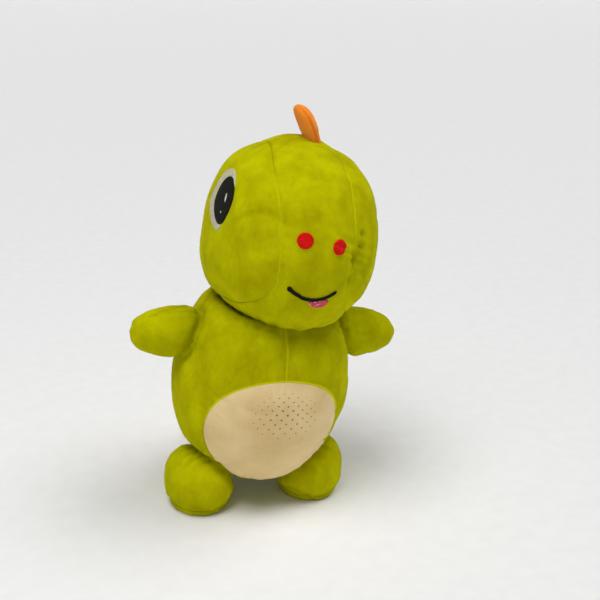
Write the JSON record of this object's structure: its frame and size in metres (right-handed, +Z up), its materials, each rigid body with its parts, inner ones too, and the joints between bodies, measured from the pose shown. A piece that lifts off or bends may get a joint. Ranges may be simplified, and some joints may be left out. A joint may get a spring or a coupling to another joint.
{
  "type": "stuffed dinosaur",
  "caption": "Plush dinosaur with a large round head, dotted belly panel, stubby arms and feet, a tail and a row of soft plates",
  "frame": {"origin": "on the floor, under the middle of the toy's box", "axes": "+Z up, -Y the way the toy faces, +X the toy's own left"},
  "size_m": [0.2563, 0.2487, 0.3824],
  "materials": {
    "green_plush": "short mottled plush pile",
    "cream_plush": "fine ribbed plush with small foil dots",
    "orange_plush": "short plush pile",
    "filling": "polyester fibre filling",
    "black_thread": "satin embroidery",
    "cream_thread": "satin embroidery",
    "red_thread": "satin embroidery",
    "pink_glitter": "glitter felt"
  },
  "bodies": {
    "torso": {"torso_stuffing": "filling", "torso_panel_left": "green_plush", "torso_panel_right": "green_plush", "belly_panel": "cream_plush"},
    "head": {"head_stuffing": "filling", "head_centre_panel": "green_plush", "head_side_panel_left": "green_plush", "head_side_panel_right": "green_plush", "mouth_line": "black_thread", "tongue": "pink_glitter", "eye_white_left": "cream_thread", "eye_pupil_left": "black_thread", "eye_glint_large_left": "cream_thread", "eye_glint_small_left": "cream_thread", "nostril_left": "red_thread", "eye_white_right": "cream_thread", "eye_pupil_right": "black_thread", "eye_glint_large_right": "cream_thread", "eye_glint_small_right": "cream_thread", "nostril_right": "red_thread"},
    "arm_left": {"arm_left_stuffing": "filling", "arm_left_front_panel": "green_plush", "arm_left_back_panel": "green_plush"},
    "arm_right": {"arm_right_stuffing": "filling", "arm_right_front_panel": "green_plush", "arm_right_back_panel": "green_plush"},
    "leg_left": {"leg_left_stuffing": "filling", "leg_left_upper_panel": "green_plush", "leg_left_sole": "green_plush"},
    "leg_right": {"leg_right_stuffing": "filling", "leg_right_upper_panel": "green_plush", "leg_right_sole": "green_plush"},
    "tail": {"tail_stuffing": "filling", "tail_panel_left": "green_plush", "tail_panel_right": "green_plush"},
    "head_plate_1": {"head_plate_1": "orange_plush"},
    "head_plate_2": {"head_plate_2": "orange_plush"},
    "head_plate_3": {"head_plate_3": "orange_plush"},
    "back_plate_1": {"back_plate_1": "orange_plush"},
    "back_plate_2": {"back_plate_2": "orange_plush"},
    "tail_plate_1": {"tail_plate_1": "orange_plush"},
    "tail_plate_2": {"tail_plate_2": "orange_plush"}
  },
  "joints": [
    {"name": "head_turn", "type": "hinge", "parent": "torso", "child": "head", "pos_m": [0.0025, -0.025, 0.197], "axis": [0.2074, -0.0698, 0.9758], "range_deg": [-30, 30], "stiffness_Nm_per_rad": 0.35},
    {"name": "arm_left_swing", "type": "hinge", "parent": "torso", "child": "arm_left", "pos_m": [0.07595, -0.0295, 0.16053], "axis": [0, -1, 0], "range_deg": [-25, 25], "stiffness_Nm_per_rad": 0.06},
    {"name": "arm_right_swing", "type": "hinge", "parent": "torso", "child": "arm_right", "pos_m": [-0.07686, -0.0295, 0.17605], "axis": [0, 1, 0], "range_deg": [-25, 25], "stiffness_Nm_per_rad": 0.06},
    {"name": "leg_left_swing", "type": "hinge", "parent": "torso", "child": "leg_left", "pos_m": [0.041, -0.029, 0.04], "axis": [-1, 0, 0], "range_deg": [-12, 22], "stiffness_Nm_per_rad": 3},
    {"name": "leg_right_swing", "type": "hinge", "parent": "torso", "child": "leg_right", "pos_m": [-0.07, -0.029, 0.04], "axis": [-1, 0, 0], "range_deg": [-12, 22], "stiffness_Nm_per_rad": 3},
    {"name": "tail_swing", "type": "hinge", "parent": "torso", "child": "tail", "pos_m": [-0.0125, 0.029, 0.05], "axis": [0, 0, 1], "range_deg": [-22, 22], "stiffness_Nm_per_rad": 0.3},
    {"name": "head_plate_1_flop", "type": "hinge", "parent": "head", "child": "head_plate_1", "pos_m": [0.03624, -0.03435, 0.35615], "axis": [-0.0164, 0.9994, 0.0309], "range_deg": [-20, 45], "stiffness_Nm_per_rad": 0.02},
    {"name": "head_plate_2_flop", "type": "hinge", "parent": "head", "child": "head_plate_2", "pos_m": [0.02794, 0.05403, 0.31057], "axis": [-0.1358, 0.4911, -0.8605], "range_deg": [-30, 30], "stiffness_Nm_per_rad": 0.02},
    {"name": "head_plate_3_flop", "type": "hinge", "parent": "head", "child": "head_plate_3", "pos_m": [0.01843, 0.06415, 0.24688], "axis": [-0.141, -0.1168, -0.9831], "range_deg": [-30, 30], "stiffness_Nm_per_rad": 0.02},
    {"name": "back_plate_1_flop", "type": "hinge", "parent": "torso", "child": "back_plate_1", "pos_m": [0.00022, 0.04942, 0.17496], "axis": [-0.0954, 0.3312, -0.9387], "range_deg": [-30, 30], "stiffness_Nm_per_rad": 0.02},
    {"name": "back_plate_2_flop", "type": "hinge", "parent": "torso", "child": "back_plate_2", "pos_m": [-0.00472, 0.05764, 0.12625], "axis": [-0.101, 0.0137, -0.9948], "range_deg": [-30, 30], "stiffness_Nm_per_rad": 0.02},
    {"name": "tail_plate_1_flop", "type": "hinge", "parent": "tail", "child": "tail_plate_1", "pos_m": [-0.0125, 0.06523, 0.07981], "axis": [0, 0.8947, -0.4467], "range_deg": [-30, 30], "stiffness_Nm_per_rad": 0.015},
    {"name": "tail_plate_2_flop", "type": "hinge", "parent": "tail", "child": "tail_plate_2", "pos_m": [-0.0125, 0.09849, 0.05883], "axis": [0, 0.8112, -0.5847], "range_deg": [-30, 30], "stiffness_Nm_per_rad": 0.015}
  ]
}
